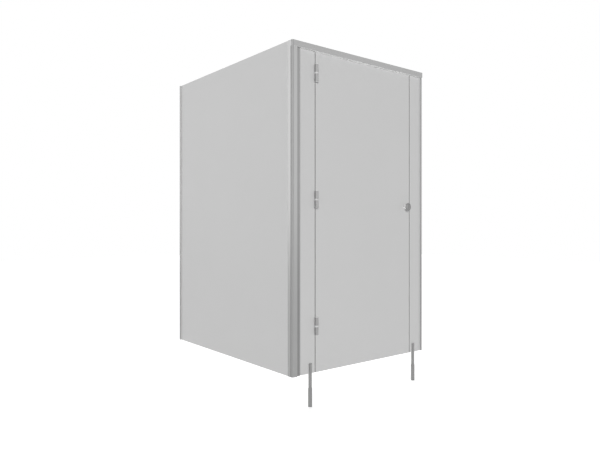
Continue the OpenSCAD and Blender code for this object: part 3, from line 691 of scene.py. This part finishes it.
def corner_post():
    lip = 0.5
    back = SEAT + WALL
    web = 4
    port_r, port_bore = 3.9, 2.1
    ports = ((5.84, -3.16), (27.5, -5.5))
    outer = rounded([
        (-WALL, POST_SIDE_LIP, lip), (-WALL, GROOVE[1], 0.2), (-1, GROOVE[1], 0.2), (-1, GROOVE[0], 0.2),
        (-WALL, GROOVE[0], 0.2), (-WALL, PROUD, 13), (POST_FACE, PROUD, 1.2), (POST_FACE, -WALL, 0.4),
        (POST_LIP, -WALL, lip), (POST_LIP, 0, lip), (POST_FACE, 0, 0.3), (POST_FACE, SEAT, 0.3),
        (POST_LIP, SEAT, lip), (POST_LIP, back, lip), (back, back, 0.4), (back, POST_SIDE_LIP, lip),
        (SEAT, POST_SIDE_LIP, lip), (SEAT, web, 0.3), (0, web, 0.3), (0, POST_SIDE_LIP, lip)], 8)
    chamber = rounded([(0, web - WALL, 0.5), (0, PROUD + WALL, 11), (POST_FACE - WALL, PROUD + WALL, 0.5),
                       (POST_FACE - WALL, web - WALL, 0.5)], 8)
    core_slot = rounded([(back, web, 0.5), (POST_FACE - WALL, web, 0.5), (POST_FACE - WALL, SEAT, 0.5),
                         (back, SEAT, 0.5)], 3)
    length, place = upright("corner_post")
    body = section("corner_post_body", [outer, chamber, core_slot], length, upright_metal, place)
    tubes = [section("port", [circle(x, y, port_r), circle(x, y, port_bore)], length, upright_metal, place)
             for x, y in ports]
    piece("corner_post_profile", joined("corner_post_profile", body, *tubes), "corner_post", post_metal)


def wall_channel(name, node, end, out):
    """A channel on a building wall. end is its wall face, and out the axis towards the wall."""
    near, far, mouth = -6, 19, end - CHANNEL_LEG
    corners = [
        (near, end, 0.4), (near, mouth, 0.9), (near + WALL, mouth, 0.9), (near + WALL, end - WALL, 0.3),
        (far - WALL, end - WALL, 0.3), (far - WALL, mouth, 0.9), (far, mouth, 0.9), (far, end, 0.4)]
    if out == X:
        corners = [(depth, across, r) for across, depth, r in corners[:1] + corners[:0:-1]]
    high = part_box(node)[1]
    inset, count = 0.11, 4
    holes = []
    for i in range(count):
        start, end_point = centre(node), centre(node)
        start.z = end_point.z = inset + i * (high.z - 2 * inset) / (count - 1)
        start[out], end_point[out] = high[out] - 3 * MM, high[out] + MM
        holes.append((start, end_point, WALL_HOLE))
    length, place = upright(node)
    mesh = carved(section(name, [rounded(corners, 4)], length, channel_metal, place), cylinders(holes))
    piece(name + "_profile", mesh, node, channel_metal)


def head_rail():
    back, tall, guide = 24, 34, 16
    near, far = -0.5, SHEET + 0.5
    outline = rounded([
        (PROUD, 0, 0.6), (near, 0, 0.3), (near, guide, 0.4), (near - WALL, guide, 0.4), (near - WALL, WALL),
        (PROUD + WALL, WALL), (PROUD + WALL, tall - WALL), (back - WALL, tall - WALL), (back - WALL, WALL),
        (far + WALL, WALL), (far + WALL, guide, 0.4), (far, guide, 0.4), (far, 0, 0.3), (back, 0, 0.6),
        (back, tall, 1.2), (PROUD, tall, 1.2)], 4)
    length, place = lengthwise("head_rail")
    piece("head_rail_profile", section("head_rail_profile", [outline], length, rail_metal, place),
          "head_rail", rail_metal)

    # A draught lip hangs from the strip's front edge, to a millimetre over the door
    tall, drop = 8, -3.1
    strip = rounded([
        (near, drop, 0.4), (near + 1, drop, 0.4), (near + 1.6, 0, 0.3), (3.4, 0), (3.8, 0.5), (4.2, 0),
        (9.2, 0), (9.6, 0.5), (10, 0), (far, 0, 0.5), (far, tall, 0.5), (near, tall, 0.5)], 3)
    length, place = lengthwise("rail_infill")
    piece("rail_infill_strip", section("rail_infill_strip", [strip], length, infill_plastic, place),
          "rail_infill", infill_plastic)
    piece("rail_cap_cast", eased("rail_end_cap", 0.5), "rail_end_cap", upright_metal)
    piece("rail_bracket_plate", eased("rail_wall_bracket", 0.4), "rail_wall_bracket", rail_metal)


def door_stop():
    foot, step = SHEET + WALL, SHEET + 3
    reach, flange = LOCK_EDGE - 16, LOCK_EDGE + 22
    strip = rounded([
        (LOCK_EDGE, SHEET, 0.3), (flange, SHEET, 0.3), (flange, foot, 0.9), (LOCK_EDGE + WALL, foot, 0.6),
        (LOCK_EDGE + WALL, step + WALL, 0.9), (reach, step + WALL, 0.9), (reach, step, 0.6),
        (LOCK_EDGE, step, 0.4)], 4)
    for node in ("upper_stop_strip", "lower_stop_strip"):
        length, place = upright(node)
        piece(node + "_profile", section(node, [strip], length, upright_metal, place), node, upright_metal)
    middle = reach + 4.5
    bulb = rounded([
        (reach, step), (reach, step - 0.8, 0.3), (middle - 3.6, SHEET + 0.3, 1.0),
        (middle + 3.6, SHEET + 0.3, 1.0), (middle + 4.5, step - 0.8, 0.3), (middle + 4.5, step)], 5)
    hollow = rounded([
        (middle - 2.8, step - 0.9, 0.35), (middle - 2.2, step - 1.9, 0.35),
        (middle + 2.2, step - 1.9, 0.35), (middle + 2.8, step - 0.9, 0.35)], 3)
    seals = []
    for low, high in solids("stop_seals"):
        place = Matrix.Translation(CORNER + Vector((0, 0, low.z)))
        seals.append(section("seal", [bulb, hollow], high.z - low.z, rubber, place))
    piece("stop_seal_bulbs", joined("stop_seal_bulbs", *seals), "stop_seals", rubber)


def gasket(node, thin):
    """Strips with a rounded nose and two grooves, squeezed between a panel and its profile."""
    strips = []
    wide = Y if thin == X else X
    for low, high in solids(node):
        width, depth = (high[wide] - low[wide]) / MM, (high[thin] - low[thin]) / MM
        nose = min(depth, width) * 0.3
        grooves = [point for middle in (0.4, 0.6)
                   for point in ((width * (middle - 0.04), 0), (width * middle, depth * 0.2),
                                 (width * (middle + 0.04), 0))]
        profile = rounded([(0, 0, nose), *grooves, (width, 0, nose), (width, depth, nose),
                           (0, depth, nose)], 3)
        across, through = [Vector((i == X, i == Y, 0)) for i in (wide, thin)]
        turn = Matrix((across, through, (0, 0, 1))).transposed().to_4x4()
        strips.append(section("strip", [profile], high.z - low.z, glazing_rubber,
                              Matrix.Translation(low) @ turn))
    piece(node + "_strips", joined(node + "_strips", *strips), node, glazing_rubber)


corner_post()
wall_channel("rear_channel", "rear_wall_channel", SIDE_END, Y)
wall_channel("front_channel", "front_wall_channel", FRONT_END, X)
head_rail()
door_stop()
gasket("post_side_gasket", X)
gasket("post_front_gasket", Y)
gasket("rear_channel_gaskets", X)
gasket("front_channel_gaskets", Y)


# Panels ----------------------------------------------------------------------------------------


def panel(name, outline, thin, coat, node, holes=()):
    """A laminate sheet of an outline in the plane across its thin axis, with eased edges."""
    wide = [i for i in (X, Y, Z) if i != thin]
    bm = bmesh.new()
    layers = []
    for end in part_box(node):
        row = []
        for a, b in outline:
            place = [0, 0, 0]
            place[wide[0]], place[wide[1]], place[thin] = a, b, end[thin]
            row.append(bm.verts.new(place))
        layers.append(row)
    for row in layers:
        bm.faces.new(row)
    count = len(outline)
    for i in range(count):
        j = (i + 1) % count
        bm.faces.new((layers[0][i], layers[0][j], layers[1][j], layers[1][i]))
    bmesh.ops.recalc_face_normals(bm, faces=bm.faces)
    bmesh.ops.bevel(bm, geom=list(bm.edges), offset=EASE * MM, segments=2, profile=0.6, affect="EDGES",
                    clamp_overlap=True)
    mesh = to_mesh(bm, name)
    if holes:
        mesh = carved(mesh, cylinders(holes))
    made = piece(name, mesh, node, coat, core_coat)
    for face in made.data.polygons:
        face.material_index = 0 if abs(face.normal[thin]) > 0.9 else 1


def rectangle(node):
    low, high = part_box(node)
    return [(low.x, low.z), (high.x, low.z), (high.x, high.z), (low.x, high.z)]


def leg_screw_holes():
    """Holes round the leg screws, a little wider than their shanks, from left to right."""
    holes = []
    for low, high in solids("leg_screws"):
        start, end = (low + high) / 2, (low + high) / 2
        start.y, end.y = low.y - MM, high.y + MM
        holes.append((start, end, LEG_SCREW_HOLE))
    return holes


def panels():
    low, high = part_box("side_panel")
    notch_y, notch_z = CORNER.y + (POST_SIDE_LIP + 0.5) * MM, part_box("head_rail")[0].z
    outline = [(low.y, low.z), (high.y, low.z), (high.y, high.z), (notch_y, high.z), (notch_y, notch_z),
               (low.y, notch_z)]
    panel("side_wall_sheet", outline, X, side_coat, "side_panel")
    holes = leg_screw_holes()
    half = len(holes) // 2
    for node, coat, own in (("left_pilaster", left_coat, holes[:half]),
                            ("right_pilaster", right_coat, holes[half:])):
        panel(node + "_sheet", rectangle(node), Y, coat, node, own)
    low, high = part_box("door_leaf")
    start, end = [Vector((SPINDLE.x, y, SPINDLE.z)) for y in (low.y - MM, high.y + MM)]
    panel("door_sheet", rectangle("door_leaf"), Y, door_coat, "door_leaf", [(start, end, SPINDLE_HOLE)])


panels()


# Screws ----------------------------------------------------------------------------------------

FULL_TURN = 6.283        # radians

# A screw on each point, its head towards the point's "seat" direction and turned at random
fixing = Recipe("screws in their holes", "Piece", "Seed", "Finish")
heads = fixing.node("GeometryNodeObjectInfo", {}, {"Object": fixing.given("Piece")}, "Geometry")
seat = fixing.node("GeometryNodeInputNamedAttribute", {"data_type": "FLOAT_VECTOR"}, {"Name": "seat"})
spin = fixing.node("FunctionNodeRandomValue", {"data_type": "FLOAT"}, {
    2: 0.0, 3: FULL_TURN, "Seed": fixing.given("Seed")}, 1)
facing = fixing.node("FunctionNodeAlignRotationToVector", {"axis": "Z"}, {"Vector": seat})
about = fixing.node("FunctionNodeEulerToRotation", {}, {
    0: fixing.node("ShaderNodeCombineXYZ", {}, {2: spin})})
turn = fixing.node("FunctionNodeRotateRotation", {"rotation_space": "LOCAL"}, {0: facing, 1: about})
fixing.done(fixing.node("GeometryNodeInstanceOnPoints", {}, {
    "Points": fixing.given("Geometry"), "Instance": heads, "Rotation": turn}))


def screw(head_r, head_h, shank_r, length, flush):
    """A screw whose head's top is at the origin and whose point is at -Z."""
    count = 36
    if flush:
        head = [(shank_r, -head_h), (head_r, -0.25), (head_r - 0.15, -0.05), (head_r - 0.5, 0),
                (head_r * 0.55, 0)]
    else:
        head = [(shank_r, -head_h), (head_r - 0.2, -head_h), (head_r, 0.2 - head_h),
                (head_r, -head_h * 0.62), (head_r * 0.95, -head_h * 0.36), (head_r * 0.82, -head_h * 0.14),
                (head_r * 0.62, -0.02), (head_r * 0.5, 0)]
    shank = [(shank_r * 0.45, 1.2 - length), (shank_r, 2.6 - length)]
    drive, floor = head_r * 0.36, -head_h * 0.55
    pin = [(drive * 0.32, floor), (drive * 0.3, floor * 0.25)]
    rows = [[Vector((0, 0, -length)) * MM]]
    rows += [ring(r, height, count) for r, height in shank + head]
    rows += [ring(drive, -0.08, count, drive * 0.12), ring(drive * 0.96, floor, count, drive * 0.12)]
    rows += [ring(r, height, count) for r, height in pin]
    rows += [[Vector((0, 0, floor * 0.18)) * MM]]
    return rings(rows, "screw", 40)


def screws(joint, way, seed, head_h, shank_r, flush=False):
    """All the screws of a joint. way is where their heads face."""
    name, node = joint + "_fixings", joint + "_screws"
    boxes = solids(node)
    axis = max((X, Y, Z), key=lambda i: abs(way[i]))
    across = X if axis != X else Y
    low, high = boxes[0]
    head_r = (high[across] - low[across]) / 2 / MM
    length = (high[axis] - low[axis]) / MM
    places = []
    for low, high in boxes:
        place = (low + high) / 2
        place[axis] = high[axis] if way[axis] > 0 else low[axis]
        places.append(place)
    points = bpy.data.meshes.new(name)
    points.from_pydata(places, [], [])
    seat_way = points.attributes.new("seat", "FLOAT_VECTOR", "POINT")
    seat_way.data.foreach_set("vector", way * len(boxes))
    template = placed("template", screw(head_r, head_h, shank_r, length, flush))
    made = fixing.build(name, points, Piece=template, Seed=seed, Finish=screw_metal.material)
    bpy.data.objects.remove(template)
    piece(name, smoothed(made, 40), node, screw_metal)


INWARDS, RIGHT, LEFT = (0, 1, 0), (1, 0, 0), (-1, 0, 0)
PAN = {"head_h": 2.75, "shank_r": 2.5}
LEG = {"head_h": 1.6, "shank_r": 2.5, "flush": True}
FLUSH = {"head_h": 1.6, "shank_r": 2.0, "flush": True}
for seed, (joint, way, kind) in enumerate((
        ("post_side", RIGHT, PAN), ("post_front", INWARDS, PAN), ("rear_channel", RIGHT, PAN),
        ("front_channel", INWARDS, PAN), ("stop", INWARDS, PAN), ("keep", INWARDS, PAN),
        ("lock_case", INWARDS, PAN), ("leg", INWARDS, LEG), ("hinge_frame", RIGHT, FLUSH),
        ("hinge_door", LEFT, FLUSH), ("knob", INWARDS, FLUSH)), 1):
    screws(joint, way, seed, **kind)


# Hinges ----------------------------------------------------------------------------------------


def hinge(height):
    for half in ("frame", "door"):
        node = f"{height}_hinge_{half}_half"
        piece(f"{height}_hinge_{half}_leaf", eased(node, 0.7), node, hinge_metal)
    low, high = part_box(height + "_hinge_ring")
    r, h = (high.x - low.x) / 2 / MM, (high.z - low.z) / MM
    half = [(HINGE_RING_BORE, 0), (r - 0.6, 0), (r, 0.6), (r, h / 2 - 0.5)]
    waist = [(r - 0.5, h / 2)]
    other = [(far, h - up) for far, up in reversed(half)]
    bush = turned(half + waist + other + half[:1], height + "_hinge_bush")
    middle = (low + high) / 2
    bush.transform(Matrix.Translation((middle.x, middle.y, low.z)))
    piece(height + "_hinge_bush", bush, height + "_hinge_ring", nylon)


for height in HINGES:
    hinge(height)


# Lock ------------------------------------------------------------------------------------------


def superpower(value, power=0.6):
    """Squares a circle's sine or cosine into a rounded rectangle's."""
    return math.copysign(abs(value) ** power, value)


def thumb_turn():
    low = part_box("thumb_turn")[0]
    face = Matrix(((1, 0, 0, SPINDLE.x), (0, 0, 1, low.y), (0, -1, 0, SPINDLE.z), (0, 0, 0, 1)))
    rose = turned([(0, 0), (18.6, 0), (19, 0.4), (19, 4.6), (18.4, 5.6), (17.2, 6.3), (15.5, 6.5), (0, 6.5)],
                  "rose", 80)
    # Depth, half width and half thickness along the waisted grip
    waist = ((2, 13.5, 3.2), (7, 14.2, 3.0), (10, 15.2, 2.7), (14, 16.2, 2.9), (17.5, 16.8, 3.5),
             (19.3, 16.9, 3.7), (20, 16.2, 3.1))
    rows = [[Vector((thick * superpower(math.cos(a)), wide * superpower(math.sin(a)), depth)) * MM
             for a in angles(48)] for depth, wide, thick in waist]
    mesh = carved(rose, rings(rows, "grip", 50), "UNION", 40)
    mesh.transform(face)
    piece("thumb_turn_grip", mesh, "thumb_turn", knob_metal)


piece("knob_neck", eased("knob_body", 0.6), "knob_body", neck_metal)
piece("knob_dome", eased("knob_face", 0.35), "knob_face", knob_metal)
piece("knob_indicator", eased("indicator_disc", 0.2), "indicator_disc", disc_enamel)
thumb_turn()
piece("lock_case_shell", eased("lock_case", 1.0, longer=4), "lock_case", lock_coat)
piece("lock_plate", eased("lock_base_plate", 0.3, longer=4), "lock_base_plate", lock_coat)
piece("lock_bolt_bar", eased("lock_bolt", 0.4), "lock_bolt", bolt_metal)
piece("strike_keep_box", eased("strike_keep", 0.5), "strike_keep", lock_coat)
piece("lock_lever", eased("drive_lever", 0.3), "drive_lever", screw_metal)


# Legs ------------------------------------------------------------------------------------------


def leg(side):
    piece(side + "_leg_tube", eased(side + "_leg_rod", 0.5), side + "_leg_rod", leg_metal)
    low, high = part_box(side + "_leg_sleeve")
    middle = (low + high) / 2
    r, h = (high.x - low.x) / 2 / MM, (high.z - low.z) / MM
    shell = turned([
        (SLEEVE_BORE, 0), (r - 0.3, 0), (r, 0.3), (r, h - 6), (r - 0.25, h - 5.6), (r - 0.25, h - 5.2),
        (r, h - 4.8), (r, h - 0.9), (r - 0.9, h), (SLEEVE_BORE, h), (SLEEVE_BORE, 0)],
        side + "_sleeve", 72)
    shell.transform(Matrix.Translation((middle.x, middle.y, low.z)))
    grub = centre(side + "_set_screw")
    start, end = [Vector((grub.x, y + 5 * MM, grub.z)) for y in (middle.y, high.y)]
    shoe = carved(shell, cylinders([(start, end, GRUB_HOLE)]))
    piece(side + "_leg_shoe", shoe, side + "_leg_sleeve", leg_metal)
    piece(side + "_foot_pad", eased(side + "_foot_plug", 0.4), side + "_foot_plug", foot_plastic)
    piece(side + "_grub_screw", eased(side + "_set_screw", 0.25), side + "_set_screw", screw_metal)


leg("left")
leg("right")


# Stage -----------------------------------------------------------------------------------------

WHITE = (1, 1, 1, 1)
AMBIENT = 0.28                              # world's light on the object
FLOOR_GLOW = 0.62                           # glow that the camera sees on the lit floor
FLOOR_REACH = 14                            # metres from the middle
MIDDLE = (0.1, -1.1, 0.9)                   # of the cubicle, for the lamps
POST_PLACE = (0.0, -1.33)
CAMERA_PLACE = (-1.8905, -3.764, 0.830)
CAMERA_YAW = 38.59
PICTURE_PX = 600
LENS_PX = 562.7
HORIZON_PX = 0.73
SENSOR = 36


def floor():
    """A pale floor, white to the camera, that keeps a trace of the cubicle's shadow."""
    bm = bmesh.new()
    bmesh.ops.create_grid(bm, x_segments=8, y_segments=8, size=FLOOR_REACH)
    bmesh.ops.translate(bm, verts=bm.verts, vec=(0, 0, FLOOR_Z))
    mesh = bpy.data.meshes.new("studio_floor")
    bm.to_mesh(mesh)
    bm.free()
    ground = placed("studio_floor", mesh)
    coat = Finish("studio_floor", roughness=0.9, specular_ior_level=0.0)
    coat.set("Base Color", coat.tint(coat.noise(3, 2), grey(216), grey(220)))
    plain = Wire(coat, coat.surface.outputs[0])
    glow = coat.node("ShaderNodeEmission", {}, {"Color": WHITE, "Strength": FLOOR_GLOW})
    glowing = coat.node("ShaderNodeAddShader", {}, {0: plain, 1: glow})
    mixed = coat.node("ShaderNodeMixShader", {}, {0: coat.seen(), 1: plain, 2: glowing})
    coat.join(mixed, coat.tree.nodes["Material Output"].inputs["Surface"])
    mesh.materials.append(coat.material)


def world():
    """White to the camera and in the metals, and a low even light for everything else."""
    sky = bpy.data.worlds.new("studio")
    bpy.context.scene.world = sky
    sky.use_nodes = True
    plan = Plan(sky.node_tree)
    dim = plan.tree.nodes["Background"]
    dim.inputs["Color"].default_value = WHITE
    dim.inputs["Strength"].default_value = AMBIENT
    white = plan.node("ShaderNodeBackground", {}, {"Color": WHITE, "Strength": 1.0})
    mixed = plan.node("ShaderNodeMixShader", {}, {0: plan.seen(), 1: Wire(plan, dim.outputs[0]), 2: white})
    plan.join(mixed, plan.tree.nodes["World Output"].inputs["Surface"])


def lamp(name, place, target, size, radiance, mirrored=False):
    """A square lamp of a given radiance, where 1 is as bright as the white background.

    A mirrored one is seen in the metals only, and any other lights the surfaces only.
    """
    light = bpy.data.lights.new(name, "AREA")
    light.shape = "SQUARE"
    light.size = size
    light.energy = radiance * math.pi * size * size
    made = placed(name, light)
    made.location = place
    made.rotation_euler = (Vector(target) - Vector(place)).to_track_quat("-Z", "Y").to_euler()
    made.visible_camera = False
    made.visible_glossy = mirrored
    made.visible_diffuse = not mirrored


def card(name, place, radiance):
    """A white card near the corner post, for the metals to mirror."""
    lamp(name, place, (*POST_PLACE, place[Z]), 4.0, radiance, mirrored=True)


def softbox(name, place, radiance):
    """A large lamp far off, so that no panel is brighter at one end."""
    lamp(name, place, MIDDLE, 11.0, radiance)


floor()
world()
card("card_front", (3.0, -5.3, 2.5), 0.66)
card("card_side", (-3.1, 2.6, 2.5), 1.12)
card("card_corner", (-3.9, -4.4, 2.7), 0.62)
softbox("softbox_key", (-24.3, -32.7, 7.0), 31.6)
softbox("softbox_right", (40.0, -0.6, 5.0), 10.0)
softbox("softbox_back", (26.5, 29.0, 7.0), 20.0)
softbox("softbox_rear", (-10.7, 37.3, 7.0), 14.0)
lamp("softbox_top", (1.3, 0.1, 9.0), (1.3, 0.1, 0.0), 2.0, 12.0)

camera = placed("camera", bpy.data.cameras.new("camera"))
camera.location = CAMERA_PLACE
camera.rotation_euler = (math.radians(90), 0, -math.radians(CAMERA_YAW))
camera.data.sensor_width = SENSOR
camera.data.lens = SENSOR * LENS_PX / PICTURE_PX
camera.data.shift_y = HORIZON_PX / PICTURE_PX
camera.data.clip_end = 200
bpy.context.scene.camera = camera
bpy.context.scene.view_settings.view_transform = "Standard"
